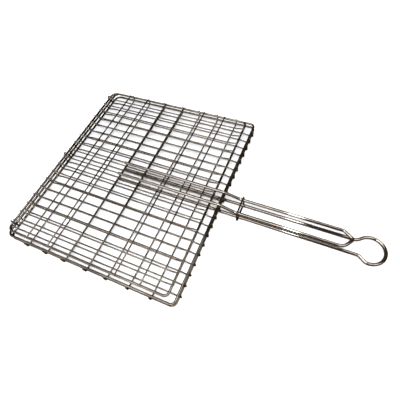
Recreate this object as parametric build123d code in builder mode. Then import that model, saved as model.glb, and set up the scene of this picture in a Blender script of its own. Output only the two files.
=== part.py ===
"""Folding wire grill basket: a shallow welded basket, a flat hinged lid, two long wire handles
and a sliding ring that locks the handles together.

Millimetres. +X runs from the hinge to the handles, +Z is up. The origin is under the middle of the
whole object, level with its lowest wire.
"""
import os
from math import cos, radians, sin

from build123d import *

os.makedirs("parts", exist_ok=True)

# Wire diameters
FRAME_WIRE = 5.0
MESH_WIRE = 3.15
HANDLE_WIRE = 6.5
RING_WIRE = 3.6
EYE_WIRE = 2.8
WELD = 0.2                   # how deep a welded wire sinks into its neighbour
TOUCH = 0.15                 # the same, where a wire only leans on another

# Basket: two stacked frames, with a wire mesh under the lower one
BASKET_LENGTH = 400.0        # hinge wire to the rim's handle side, between wire centres
BASKET_WIDTH = 458.0
HINGE_CORNER = 13
HANDLE_CORNER = 9.5
FRAME_DROP = 10.4            # rim wire down to the lower frame wire
CROSS_COUNT = 7
CROSS_PITCH = 50.2           # the last gap, at the handles, is a little narrower
CROSS_SHIFTS = {3: -2.6, 4: 1.6}    # these cross wires are welded off the even spacing
CROSS_SPLAY = 3.0            # the left ends lean towards the handles, most at the hinge
LONG_COUNT = 20
LONG_PITCH = 21.74
LONG_SHIFT = -1.4            # the whole row of long wires sits a little to the right
UPTURN_TOP = 0.6             # top of the upturned mesh ends, above the rim wire's centre
UPTURN_BEND = 2.2

# Lid: one flat frame, with a wire mesh on top
LID_LENGTH = 383.2
LID_SIDE_GAP = 8.2           # rim wire in to the lid's side wire
LID_RISE = 8.4               # rim wire up to the lid's frame wire
LID_LEAN = 3.4               # the lid's handle-side wire is this much out of square
LID_HINGE_CORNER = 13.0
LID_HANDLE_CORNER = 9.5
LID_CROSS_COUNT = 6
LID_CROSS_START = 1.6
LID_CROSS_PITCH = 54.4
LID_CROSS_SHIFTS = {4: -2.6}
LID_LONG_COUNT = 18
LID_LONG_SHIFT = -0.8
END_OVERHANG = 1.0           # mesh ends past the lid's frame wire
STEP_START = 4.0             # where a long wire leaves the frame wire it is welded to
STEP_END = 16.0              # where it reaches the level of the mesh
STEP_BEND = 14.0

# Handles
LOWER_START = 146.0
LOWER_CENTRE_Y = 3.6
LOWER_HALF = 14.8
LOOP_CENTRE = (701.0, 5.5)
LOOP_RADIUS = 27.2
SHOULDER_RADIUS = 14.0
SHOULDER_TURN = 41.0
NECK_TURN = 36.5
NECK_OUTER = 12.0
NECK_INNER = 8.0
UPPER_START = 161.0
UPPER_CENTRE_Y = -0.8
UPPER_HALF = 15.6
CRANK_START = 404.0
CRANK_END = 436.0
CRANK_BEND = 12.0
GRIP_HALF = 16.6
GRIP_GAP = 18.5              # lower handle up to the upper one, past the crank
TIP_SHOULDER = 646.0
TIP_POINT = (665.5, 7.5)
TIP_RETURN = 651.0

# Lock ring and hinge eyes
RING_X = 443.5
RING_PLAY = 0.4
RING_CORNER = 4.0
EYE_RADIUS = 8.4
EYE_Y = (201.8, -4.5, -202.8)

# Heights, measured from the rim wire's centre
under_frame = -FRAME_DROP - (FRAME_WIRE + MESH_WIRE) / 2 + WELD
cross_level = under_frame
long_level = cross_level + MESH_WIRE - WELD
lower_level = cross_level - (MESH_WIRE + HANDLE_WIRE) / 2 + WELD
lid_over = LID_RISE + (FRAME_WIRE + MESH_WIRE) / 2 - WELD
lid_cross_level = lid_over
lid_long_level = lid_over - MESH_WIRE + WELD
upper_level = lid_cross_level + (MESH_WIRE + HANDLE_WIRE) / 2 - WELD
grip_level = lower_level + GRIP_GAP
ring_low = lower_level - HANDLE_WIRE / 2 - RING_PLAY - RING_WIRE / 2
ring_high = grip_level + HANDLE_WIRE / 2 + RING_PLAY + RING_WIRE / 2
ring_half = GRIP_HALF + HANDLE_WIRE / 2 + RING_PLAY + RING_WIRE / 2
eye_level = EYE_RADIUS - EYE_WIRE / 2 - FRAME_WIRE / 2 + TOUCH

# Place of the rim's hinge wire in the object's frame
loop_end = LOOP_CENTRE[0] + LOOP_RADIUS + HANDLE_WIRE / 2
eye_reach = EYE_RADIUS + EYE_WIRE / 2
hinge_x = -(loop_end - eye_reach) / 2
rim_z = -(ring_low - RING_WIRE / 2)


def place(x, y, z):
    """A point given from the rim's hinge wire, in the object's frame."""
    return (hinge_x + x, y, rim_z + z)


def save(piece, name):
    """Label a finished piece and write its file."""
    piece.part.label = name
    export_step(piece.part, f"parts/{name}.step")


def bent_wire(points, bends, diameter, closed=False):
    """A round wire along straight runs joined by tangent bends."""
    with BuildPart() as wire:
        with BuildLine() as route:
            FilletPolyline(*points, radius=bends, close=closed)
        with BuildSketch(Plane(origin=route.line @ 0, z_dir=route.line % 0)):
            Circle(diameter / 2)
        sweep(path=route.line)
    return wire


def straight_wire(start, end, diameter):
    """A round straight wire between two points."""
    with BuildPart() as wire:
        with BuildLine() as route:
            Line(start, end)
        with BuildSketch(Plane(origin=route.line @ 0, z_dir=route.line % 0)):
            Circle(diameter / 2)
        sweep(path=route.line)
    return wire


def frame_loop(length, half_width, hinge_corner, handle_corner, level, lean=0):
    """A closed flat frame wire with rounded corners, its handle side out of square by lean."""
    corners = [
        place(0, -half_width, level),
        place(length + lean / 2, -half_width, level),
        place(length - lean / 2, half_width, level),
        place(0, half_width, level),
    ]
    bends = [hinge_corner, handle_corner, handle_corner, hinge_corner]
    return bent_wire(corners, bends, FRAME_WIRE, closed=True)


# ---- Basket frames -------------------------------------------------------------------------
half_width = BASKET_WIDTH / 2
basket_rim = frame_loop(BASKET_LENGTH, half_width, HINGE_CORNER, HANDLE_CORNER, 0)
save(basket_rim, "basket_rim")

basket_lower_frame = frame_loop(
    BASKET_LENGTH, half_width, HINGE_CORNER, HANDLE_CORNER, -FRAME_DROP
)
save(basket_lower_frame, "basket_lower_frame")

# ---- Basket mesh: cross wires lie under the long wires, and both turn up outside the frames ---
upturn_out = (FRAME_WIRE + MESH_WIRE) / 2 - TOUCH

for i in range(CROSS_COUNT):
    x = CROSS_PITCH * (i + 1) + CROSS_SHIFTS.get(i + 1, 0)
    left_x = x + CROSS_SPLAY * (1 - x / BASKET_LENGTH)
    end_y = half_width + upturn_out
    cross_points = [
        place(x, -end_y, UPTURN_TOP),
        place(x, -end_y, cross_level),
        place(left_x, end_y, cross_level),
        place(left_x, end_y, UPTURN_TOP),
    ]
    cross_wire = bent_wire(cross_points, UPTURN_BEND, MESH_WIRE)
    save(cross_wire, f"basket_cross_wire_{i + 1}")

for i in range(LONG_COUNT):
    y = LONG_SHIFT + LONG_PITCH * ((LONG_COUNT - 1) / 2 - i)
    far_x = BASKET_LENGTH
    long_points = [
        place(-upturn_out, y, UPTURN_TOP),
        place(-upturn_out, y, under_frame),
        place(STEP_START, y, under_frame),
        place(STEP_END, y, long_level),
        place(far_x - STEP_END, y, long_level),
        place(far_x - STEP_START, y, under_frame),
        place(far_x + upturn_out, y, under_frame),
        place(far_x + upturn_out, y, UPTURN_TOP),
    ]
    step_bends = [UPTURN_BEND] + [STEP_BEND] * 4 + [UPTURN_BEND]
    long_wire = bent_wire(long_points, step_bends, MESH_WIRE)
    save(long_wire, f"basket_long_wire_{i + 1:02d}")

# ---- Hinge eyes: round rings under the rim's hinge wire, loose around the lid's hinge wire -----
for name, y in zip(("left", "middle", "right"), EYE_Y):
    with BuildPart() as hinge_eye:
        with Locations(place(0, y, eye_level)):
            Torus(EYE_RADIUS, EYE_WIRE / 2, rotation=(90, 0, 0))
    save(hinge_eye, f"hinge_eye_{name}")

# ---- Lower handle: two legs under the basket, ending in a round hanging loop -------------------
leg_left = LOWER_CENTRE_Y + LOWER_HALF
leg_right = LOWER_CENTRE_Y - LOWER_HALF
turn = radians(SHOULDER_TURN)
neck = radians(NECK_TURN)
arc_start_x = LOOP_CENTRE[0] - LOOP_RADIUS * sin(turn)
arc_start_y = LOOP_CENTRE[1] + LOOP_RADIUS * cos(turn)
shoulder_rise = SHOULDER_RADIUS * (1 - cos(turn))
shoulder_run = (arc_start_y - leg_left - shoulder_rise) / sin(turn)
shoulder_x = arc_start_x - shoulder_run * cos(turn) - SHOULDER_RADIUS * sin(turn)
neck_rise = (NECK_OUTER + NECK_INNER) * (1 - cos(neck))
neck_run = (leg_right - (LOOP_CENTRE[1] - LOOP_RADIUS) - neck_rise) / sin(neck)

with BuildPart() as bottom_handle:
    with BuildLine() as loop_route:
        left_leg = Line(place(LOWER_START, leg_left, lower_level), place(shoulder_x, leg_left, lower_level))
        shoulder = JernArc(left_leg @ 1, left_leg % 1, SHOULDER_RADIUS, SHOULDER_TURN)
        shoulder_line = Line(shoulder @ 1, shoulder @ 1 + shoulder_run * (shoulder % 1))
        loop_arc = JernArc(shoulder_line @ 1, shoulder_line % 1, LOOP_RADIUS, -SHOULDER_TURN - 180)
        neck_out = JernArc(loop_arc @ 1, loop_arc % 1, NECK_OUTER, -NECK_TURN)
        neck_line = Line(neck_out @ 1, neck_out @ 1 + neck_run * (neck_out % 1))
        neck_in = JernArc(neck_line @ 1, neck_line % 1, NECK_INNER, NECK_TURN)
        right_leg = Line(neck_in @ 1, place(LOWER_START, leg_right, lower_level))
    with BuildSketch(Plane(origin=loop_route.line @ 0, z_dir=loop_route.line % 0)):
        Circle(HANDLE_WIRE / 2)
    sweep(path=loop_route.line)
save(bottom_handle, "bottom_handle")

# ---- Lid -------------------------------------------------------------------------------------
lid_half = half_width - LID_SIDE_GAP
lid_frame = frame_loop(
    LID_LENGTH, lid_half, LID_HINGE_CORNER, LID_HANDLE_CORNER, LID_RISE, lean=LID_LEAN
)
save(lid_frame, "lid_frame")

lid_long_pitch = 2 * lid_half / (LID_LONG_COUNT + 1)
for i in range(LID_LONG_COUNT):
    y = LID_LONG_SHIFT + lid_half - lid_long_pitch * (i + 1)
    far_x = LID_LENGTH - LID_LEAN * y / (2 * lid_half)
    lid_points = [
        place(-END_OVERHANG, y, lid_over),
        place(STEP_START, y, lid_over),
        place(STEP_END, y, lid_long_level),
        place(far_x - STEP_END, y, lid_long_level),
        place(far_x - STEP_START, y, lid_over),
        place(far_x + END_OVERHANG, y, lid_over),
    ]
    lid_long_wire = bent_wire(lid_points, STEP_BEND, MESH_WIRE)
    save(lid_long_wire, f"lid_long_wire_{i + 1:02d}")

for i in range(LID_CROSS_COUNT):
    x = LID_CROSS_START + LID_CROSS_PITCH * (i + 1) + LID_CROSS_SHIFTS.get(i + 1, 0)
    lean = LID_LEAN * x / LID_LENGTH
    end_y = lid_half + END_OVERHANG
    left_end = place(x - lean / 2, end_y, lid_cross_level)
    right_end = place(x + lean / 2, -end_y, lid_cross_level)
    lid_cross_wire = straight_wire(left_end, right_end, MESH_WIRE)
    save(lid_cross_wire, f"lid_cross_wire_{i + 1}")

# ---- Upper handle: one bent wire on top of the lid, cranked down past the rim -------------------
upper_left = UPPER_CENTRE_Y + UPPER_HALF
upper_right = UPPER_CENTRE_Y - UPPER_HALF
grip_left = LOWER_CENTRE_Y + GRIP_HALF
grip_right = LOWER_CENTRE_Y - GRIP_HALF
upper_points = [
    place(UPPER_START, upper_left, upper_level),
    place(CRANK_START, upper_left, upper_level),
    place(CRANK_END, grip_left, grip_level),
    place(TIP_SHOULDER, grip_left, grip_level),
    place(TIP_POINT[0], TIP_POINT[1], grip_level),
    place(TIP_RETURN, grip_right, grip_level),
    place(CRANK_END, grip_right, grip_level),
    place(CRANK_START, upper_right, upper_level),
    place(UPPER_START, upper_right, upper_level),
]
tip_bends = [8.0, 5.0, 20.0]
upper_bends = [CRANK_BEND] * 2 + tip_bends + [CRANK_BEND] * 2
top_handle = bent_wire(upper_points, upper_bends, HANDLE_WIRE)
save(top_handle, "top_handle")

# ---- Lock ring: one closed loop around all four handle legs -------------------------------------
ring_points = [
    place(RING_X, LOWER_CENTRE_Y - ring_half, ring_low),
    place(RING_X, LOWER_CENTRE_Y + ring_half, ring_low),
    place(RING_X, LOWER_CENTRE_Y + ring_half, ring_high),
    place(RING_X, LOWER_CENTRE_Y - ring_half, ring_high),
]
lock_ring = bent_wire(ring_points, RING_CORNER, RING_WIRE, closed=True)
save(lock_ring, "lock_ring")
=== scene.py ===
import bmesh
import bpy
from math import pi, radians
from mathutils import Euler, Matrix, Vector


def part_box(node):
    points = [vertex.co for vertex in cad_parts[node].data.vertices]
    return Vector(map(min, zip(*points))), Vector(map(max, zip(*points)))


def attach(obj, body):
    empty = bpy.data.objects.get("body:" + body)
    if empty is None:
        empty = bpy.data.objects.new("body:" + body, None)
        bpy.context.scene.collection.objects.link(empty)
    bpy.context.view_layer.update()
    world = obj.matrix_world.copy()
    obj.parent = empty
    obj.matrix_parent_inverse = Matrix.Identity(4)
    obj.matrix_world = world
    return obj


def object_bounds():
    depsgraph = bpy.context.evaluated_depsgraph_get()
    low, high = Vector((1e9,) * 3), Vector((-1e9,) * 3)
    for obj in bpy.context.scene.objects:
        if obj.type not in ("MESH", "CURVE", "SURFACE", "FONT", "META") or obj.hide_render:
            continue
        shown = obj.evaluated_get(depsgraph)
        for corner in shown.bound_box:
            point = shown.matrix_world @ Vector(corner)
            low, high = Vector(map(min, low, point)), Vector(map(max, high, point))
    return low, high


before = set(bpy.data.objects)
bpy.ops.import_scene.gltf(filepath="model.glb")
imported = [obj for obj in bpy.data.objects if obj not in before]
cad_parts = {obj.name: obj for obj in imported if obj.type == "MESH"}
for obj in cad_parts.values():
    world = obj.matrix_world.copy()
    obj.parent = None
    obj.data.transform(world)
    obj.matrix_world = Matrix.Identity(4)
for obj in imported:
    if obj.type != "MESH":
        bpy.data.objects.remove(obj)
cad_low, cad_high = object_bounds()
scene = bpy.context.scene

# ---- Places read from the CAD frame ------------------------------------------------------------
rim_low, rim_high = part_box("basket_rim")
frame_wire = rim_high.z - rim_low.z
rim_z = (rim_low.z + rim_high.z) / 2
hinge_x = rim_low.x + frame_wire / 2

# ---- Camera ------------------------------------------------------------------------------------
camera_data = bpy.data.cameras.new("camera")
camera_data.sensor_width = 36.0
camera_data.lens = 28.07
camera_data.clip_start = 0.01
camera_data.clip_end = 20.0
camera = bpy.data.objects.new("camera", camera_data)
camera.location = (hinge_x + 0.54856, -0.29996, rim_z + 0.56605)
camera.rotation_euler = Euler((radians(30.936), radians(6.100), radians(23.267)), "XYZ")
scene.collection.objects.link(camera)
scene.camera = camera


# ---- Materials ---------------------------------------------------------------------------------
def new_material(name):
    """An empty node material with its output."""
    material = bpy.data.materials.new(name)
    material.use_nodes = True
    tree = material.node_tree
    tree.nodes.clear()
    output = tree.nodes.new("ShaderNodeOutputMaterial")
    shader = tree.nodes.new("ShaderNodeBsdfPrincipled")
    tree.links.new(shader.outputs["BSDF"], output.inputs["Surface"])
    return material, tree, shader


def steel(name, light, dark, rough_low, rough_high, along):
    """Bright drawn wire: fine lines drawn out by the scale along, and brown and worn patches."""
    material, tree, shader = new_material(name)
    new, link = tree.nodes.new, tree.links.new
    place = new("ShaderNodeTexCoord")
    stretch = new("ShaderNodeMapping")
    stretch.inputs["Scale"].default_value = along
    link(place.outputs["Object"], stretch.inputs["Vector"])
    lines = new("ShaderNodeTexNoise")
    lines.inputs["Scale"].default_value = 900.0
    lines.inputs["Detail"].default_value = 3.0
    link(stretch.outputs["Vector"], lines.inputs["Vector"])
    stain = new("ShaderNodeTexNoise")
    stain.inputs["Scale"].default_value = 38.0
    stain.inputs["Detail"].default_value = 5.0
    stain.inputs["Roughness"].default_value = 0.62
    link(place.outputs["Object"], stain.inputs["Vector"])
    shade = new("ShaderNodeValToRGB")
    shade.color_ramp.elements[0].position = 0.32
    shade.color_ramp.elements[0].color = dark
    shade.color_ramp.elements[1].position = 0.66
    shade.color_ramp.elements[1].color = light
    link(stain.outputs["Fac"], shade.inputs["Fac"])
    link(shade.outputs["Color"], shader.inputs["Base Color"])
    gloss = new("ShaderNodeMapRange")
    gloss.inputs["From Min"].default_value = 0.3
    gloss.inputs["From Max"].default_value = 0.7
    gloss.inputs["To Min"].default_value = rough_low
    gloss.inputs["To Max"].default_value = rough_high
    link(lines.outputs["Fac"], gloss.inputs["Value"])
    link(gloss.outputs["Result"], shader.inputs["Roughness"])
    bump = new("ShaderNodeBump")
    bump.inputs["Strength"].default_value = 0.06
    bump.inputs["Distance"].default_value = 0.0001
    link(lines.outputs["Fac"], bump.inputs["Height"])
    link(bump.outputs["Normal"], shader.inputs["Normal"])
    shader.inputs["Metallic"].default_value = 1.0
    return material


LIGHT = (0.38, 0.333, 0.285, 1.0)
DARK = (0.22, 0.182, 0.146, 1.0)
HANDLE_LIGHT = (0.48, 0.43, 0.38, 1.0)
HANDLE_DARK = (0.32, 0.28, 0.24, 1.0)
# The ring's steel is the same steel painted darker: painted shade, so the ring and the other
# small parts look dark
RING_SHADED_LIGHT = (0.24, 0.205, 0.175, 1.0)
RING_SHADED_DARK = (0.13, 0.108, 0.09, 1.0)
WELD_LIGHT = (0.24, 0.21, 0.19, 1.0)
WELD_DARK = (0.10, 0.085, 0.08, 1.0)
ALONG_X = (0.06, 1.0, 1.0)
ALONG_Y = (1.0, 0.06, 1.0)
EVEN = (1.0, 1.0, 1.0)
steel_x = steel("drawn_wire_lengthways", LIGHT, DARK, 0.06, 0.12, ALONG_X)
steel_y = steel("drawn_wire_crossways", LIGHT, DARK, 0.06, 0.12, ALONG_Y)
steel_frame = steel("frame_wire_steel", LIGHT, DARK, 0.05, 0.10, EVEN)
steel_handle = steel("handle_wire_steel", HANDLE_LIGHT, HANDLE_DARK, 0.04, 0.08, ALONG_X)
# Darker copy of the wire steel: painted shade on the ring and the other small parts
steel_ring_painted_shade = steel("ring_wire_steel_painted_shade", RING_SHADED_LIGHT, RING_SHADED_DARK, 0.07, 0.13, EVEN)
weld_steel = steel("weld_bead_steel", WELD_LIGHT, WELD_DARK, 0.28, 0.5, EVEN)


def finish_for(node):
    """The steel that a CAD node is made of."""
    if "cross_wire" in node:
        return steel_y
    if "long_wire" in node:
        return steel_x
    if "handle" in node:
        return steel_handle
    if "frame" in node or "rim" in node:
        return steel_frame
    return steel_ring_painted_shade


for node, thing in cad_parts.items():
    thing.data.materials.clear()
    thing.data.materials.append(finish_for(node))

# ---- Weld beads --------------------------------------------------------------------------------
mesh_low, mesh_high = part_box("lid_cross_wire_1")
mesh_wire = mesh_high.z - mesh_low.z
UP = Vector((0.0, 0.0, 1.0))
WELD_HALF = 0.0001           # half of how deep two welded wires overlap
MESH_BEAD = 0.0018           # radius of a bead on the mesh, and below on the frames and handles
FRAME_BEAD = 0.0020
HANDLE_BEAD = 0.0026
BEAD_FLATNESS = 0.5
BEAD_TURN = 2.4              # each bead is turned this much further than the one before
BEAD_NARROWEST = 0.82        # width over length, which grows in equal steps over the shapes
BEAD_WIDENING = 0.05
BEAD_SHAPES = 4


def nodes_named(start):
    """The CAD nodes whose names start this way, in order."""
    return sorted(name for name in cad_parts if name.startswith(start))


def end_centre(node, axis, pick):
    """Centre of a wire's end: pick is min or max along the axis, 0 for X and 1 for Y."""
    points = [vertex.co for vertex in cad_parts[node].data.vertices]
    level = pick(point[axis] for point in points)
    near = [point for point in points if abs(point[axis] - level) < mesh_wire / 8]
    return sum(near, Vector()) / len(near)


def line_of_cross_wire(node):
    """The middles of a cross wire's right and left ends, as it may lean a little."""
    return end_centre(node, 1, min), end_centre(node, 1, max)


def x_on_line(line, y):
    """Where a cross wire's line passes this Y."""
    right, left = line
    return right.x + (left.x - right.x) * (y - right.y) / (left.y - right.y)


def y_of_legs(node):
    """The Y of a handle's two legs at their welded ends."""
    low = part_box(node)[0]
    points = [vertex.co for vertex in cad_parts[node].data.vertices]
    ends = [point.y for point in points if point.x - low.x < mesh_wire / 8]
    middle = (min(ends) + max(ends)) / 2
    right = [y for y in ends if y < middle]
    left = [y for y in ends if y > middle]
    return sum(right) / len(right), sum(left) / len(left)


def bead_piece(name, body, places):
    """One mesh of small uneven weld beads, each given by point, radius and facing."""
    shapes = bmesh.new()
    for number, (point, radius, facing) in enumerate(places):
        face = UP.rotation_difference(facing).to_matrix().to_4x4()
        spin = Matrix.Rotation(BEAD_TURN * number, 4, "Z")
        width = radius * (BEAD_NARROWEST + BEAD_WIDENING * (number % BEAD_SHAPES))
        squeeze = Matrix.Diagonal((radius, width, radius * BEAD_FLATNESS, 1.0))
        placing = Matrix.Translation(point) @ face @ spin @ squeeze
        bmesh.ops.create_icosphere(shapes, subdivisions=2, radius=1.0, matrix=placing)
    mesh = bpy.data.meshes.new(name)
    shapes.to_mesh(mesh)
    shapes.free()
    for polygon in mesh.polygons:
        polygon.use_smooth = True
    mesh.materials.append(weld_steel)
    piece = bpy.data.objects.new(name, mesh)
    scene.collection.objects.link(piece)
    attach(piece, body)


def mesh_welds(long_start, cross_start, level_of):
    """Beads where every long wire of a mesh crosses every cross wire."""
    places = []
    for cross in nodes_named(cross_start):
        z = level_of(*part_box(cross))
        line = line_of_cross_wire(cross)
        for long in nodes_named(long_start):
            low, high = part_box(long)
            y = (low.y + high.y) / 2
            places.append((Vector((x_on_line(line, y), y, z)), MESH_BEAD, UP))
    return places


def handle_welds(handle, cross_start, level_of):
    """Beads where a handle's two legs cross the cross wires."""
    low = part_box(handle)[0]
    legs = y_of_legs(handle)
    places = []
    for cross in nodes_named(cross_start):
        z = level_of(*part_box(cross))
        line = line_of_cross_wire(cross)
        for y in legs:
            x = x_on_line(line, y)
            if x > low.x:
                places.append((Vector((x, y, z)), HANDLE_BEAD, UP))
    return places


def basket_frame_welds():
    """Beads where the mesh ends pass under the lower frame and up outside the rim."""
    low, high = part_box("basket_lower_frame")
    half_wire = frame_wire / 2
    places = []
    for long in nodes_named("basket_long_wire"):
        long_low, long_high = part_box(long)
        y = (long_low.y + long_high.y) / 2
        for x, out in ((low.x, -1), (high.x, 1)):
            places.append((Vector((x - out * half_wire, y, low.z)), FRAME_BEAD, UP))
            places.append((Vector((x, y, rim_z)), FRAME_BEAD, Vector((out, 0, 0))))
    for cross in nodes_named("basket_cross_wire"):
        line = line_of_cross_wire(cross)
        for y, out in ((low.y, -1), (high.y, 1)):
            x = x_on_line(line, y)
            places.append((Vector((x, y - out * half_wire, low.z)), FRAME_BEAD, UP))
            places.append((Vector((x, y, rim_z)), FRAME_BEAD, Vector((0, out, 0))))
    return places


def lid_frame_welds():
    """Beads where the lid's mesh ends rest on its frame wire."""
    low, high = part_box("lid_frame")
    half_wire = frame_wire / 2
    z = high.z - WELD_HALF
    places = []
    for long in nodes_named("lid_long_wire"):
        long_low, long_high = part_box(long)
        y = (long_low.y + long_high.y) / 2
        overhang = low.x + half_wire - long_low.x
        places.append((Vector((long_low.x + overhang, y, z)), FRAME_BEAD, UP))
        places.append((Vector((long_high.x - overhang, y, z)), FRAME_BEAD, UP))
    for cross in nodes_named("lid_cross_wire"):
        line = line_of_cross_wire(cross)
        for y in (low.y + half_wire, high.y - half_wire):
            places.append((Vector((x_on_line(line, y), y, z)), FRAME_BEAD, UP))
    return places


def eye_welds():
    """Beads where the hinge eyes are welded under the rim."""
    places = []
    for eye in nodes_named("hinge_eye"):
        low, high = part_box(eye)
        places.append((Vector((hinge_x, (low.y + high.y) / 2, rim_low.z)), FRAME_BEAD, UP))
    return places


def top_of(low, high):
    """Height of a weld on a wire's top."""
    return low.z + mesh_wire - WELD_HALF


def bottom_of(low, high):
    """Height of a weld under a wire."""
    return low.z + WELD_HALF


basket_places = mesh_welds("basket_long_wire", "basket_cross_wire", top_of)
bead_piece("basket_mesh_weld_beads", "basket", basket_places)
bead_piece("basket_frame_weld_beads", "basket", basket_frame_welds() + eye_welds())
bottom_places = handle_welds("bottom_handle", "basket_cross_wire", bottom_of)
bead_piece("bottom_handle_weld_beads", "basket", bottom_places)
lid_places = mesh_welds("lid_long_wire", "lid_cross_wire", bottom_of)
bead_piece("lid_mesh_weld_beads", "lid", lid_places)
bead_piece("lid_frame_weld_beads", "lid", lid_frame_welds())
top_places = handle_welds("top_handle", "lid_cross_wire", top_of)
bead_piece("top_handle_weld_beads", "lid", top_places)

# ---- Floor and light ---------------------------------------------------------------------------
REACH = 15.0                 # centre of the floor out to its edge and to the far wall
WALL_HEIGHT = 14.0
FLOOR_GAP = 0.0004           # the floor is this much under the lowest wire
CEILING = 2.2                # height of the studio's light panels
SUN_DISTANCE = 3.0           # a distant light's place, which doesn't change its light
FLOOR_LIGHT = 0.6
FLOOR_LIGHT_SPREAD = 70

floor_mesh = bpy.data.meshes.new("floor")
floor_mesh.from_pydata(
    [(-REACH, -REACH, 0), (REACH, -REACH, 0), (REACH, REACH, 0), (-REACH, REACH, 0)],
    [],
    [(0, 1, 2, 3)],
)
floor = bpy.data.objects.new("floor", floor_mesh)
floor.location.z = cad_low.z - FLOOR_GAP
scene.collection.objects.link(floor)
floor_white, _, floor_shader = new_material("floor_white")
floor_shader.inputs["Base Color"].default_value = (0.93, 0.93, 0.93, 1.0)
floor_shader.inputs["Roughness"].default_value = 0.9
floor_shader.inputs["Specular IOR Level"].default_value = 0.1
floor_mesh.materials.append(floor_white)
floor.visible_glossy = False

# A pale wall round the floor, far out, which only the camera sees
wall_shape = bmesh.new()
bmesh.ops.create_cone(
    wall_shape, cap_ends=False, segments=96, radius1=REACH, radius2=REACH, depth=WALL_HEIGHT
)
wall_mesh = bpy.data.meshes.new("wall")
wall_shape.to_mesh(wall_mesh)
wall_shape.free()
wall = bpy.data.objects.new("wall", wall_mesh)
wall.location.z = floor.location.z + WALL_HEIGHT / 2
scene.collection.objects.link(wall)
wall_white, _, wall_shader = new_material("wall_white")
wall_shader.inputs["Base Color"].default_value = (0.0, 0.0, 0.0, 1.0)
wall_shader.inputs["Specular IOR Level"].default_value = 0.0
wall_shader.inputs["Emission Color"].default_value = (1.0, 1.0, 1.0, 1.0)
wall_shader.inputs["Emission Strength"].default_value = 0.8
wall_mesh.materials.append(wall_white)
wall.visible_glossy = False
wall.visible_diffuse = False
wall.visible_shadow = False


def add_light(name, data):
    """Put a light's data in the scene."""
    lamp = bpy.data.objects.new(name, data)
    scene.collection.objects.link(lamp)
    return lamp


def ceiling_panel(name, left, right, near, far, radiance):
    """A level soft panel overhead, between these X and Y edges."""
    data = bpy.data.lights.new(name, "AREA")
    data.shape = "RECTANGLE"
    data.size = right - left
    data.size_y = far - near
    data.energy = radiance * pi * data.size * data.size_y
    lamp = add_light(name, data)
    lamp.location = ((left + right) / 2, (near + far) / 2, CEILING)


def distant_light(name, source, strength, spread):
    """A distant soft light, seen from the object in the direction of source."""
    data = bpy.data.lights.new(name, "SUN")
    data.energy = strength
    data.angle = radians(spread)
    lamp = add_light(name, data)
    lamp.location = Vector(source) * SUN_DISTANCE
    lamp.rotation_euler = Vector(source).to_track_quat("Z", "Y").to_euler()
    return lamp


# Left, right, near and far edges, and then the radiance
ceiling_panel("left_panel", -3.2, -1.3, -3.0, -0.10, 0.8)
ceiling_panel("middle_panel", -1.3, 0.12, -3.0, 0.0, 2.3)
ceiling_panel("right_panel", 0.80, 2.8, -2.0, 0.30, 1.6)
ceiling_panel("rim_panel", 0.30, 0.80, -0.1, 0.30, 2.3)
ceiling_panel("far_rim_panel", 0.30, 1.30, 0.30, 0.75, 2.3)
ceiling_panel("strip_light", 0.14, 0.28, -1.8, 0.3, 16.0)
distant_light("low_key_light", (-0.50, -0.80, 0.33), 0.3, 45)
for name, source in (
    ("floor_light_left", (-0.7, 0.1, 0.7)),
    ("floor_light_right", (0.7, -0.1, 0.7)),
    ("floor_light_front", (0.1, -0.7, 0.7)),
    ("floor_light_back", (-0.1, 0.7, 0.7)),
):
    floor_light = distant_light(name, source, FLOOR_LIGHT, FLOOR_LIGHT_SPREAD)
    floor_light.visible_glossy = False
    floor_light.data.color = (0.93, 0.97, 1.05)

# A small lamp over the handles, which gives the wires their soft shadows on the floor
flash_data = bpy.data.lights.new("flash", "AREA")
flash_data.shape = "DISK"
flash_data.size = 0.25
flash_data.energy = 8.0
flash = add_light("flash", flash_data)
flash.location = (0.187, -0.35, 0.95)
flash.visible_glossy = False

# A dim warm surround, which the wires' dark sides mirror
world = bpy.data.worlds.new("studio")
world.use_nodes = True
world.node_tree.nodes["Background"].inputs["Color"].default_value = (1.0, 0.78, 0.58, 1.0)
world.node_tree.nodes["Background"].inputs["Strength"].default_value = 0.08
scene.world = world
scene.view_settings.view_transform = "Standard"
